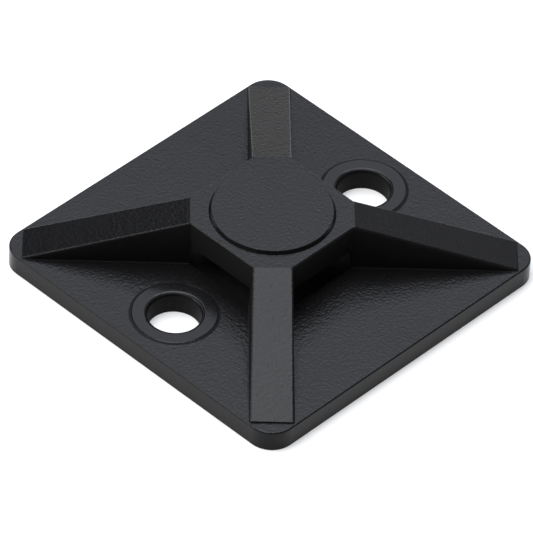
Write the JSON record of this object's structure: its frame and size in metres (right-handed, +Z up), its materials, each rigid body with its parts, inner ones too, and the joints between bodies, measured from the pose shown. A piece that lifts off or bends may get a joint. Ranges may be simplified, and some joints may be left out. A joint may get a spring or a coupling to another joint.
{
  "type": "cable tie mount",
  "caption": "Square screw-down mount for cable ties: sloping ribs on the diagonals carry a flat hub, and a tie passes beneath it from any side to any other.",
  "frame": {"origin": "centre of the plate's underside, which lies on what the mount is screwed to", "axes": "+Z up out of the surface, X through both screw holes, X and Y along the plate's sides"},
  "size_m": [0.028, 0.028, 0.0057],
  "materials": {
    "mount_plastic": "black, fine leathery grain with a soft semi-matt sheen"
  },
  "bodies": {
    "root": {"cable_tie_mount": "mount_plastic"}
  },
  "joints": []
}
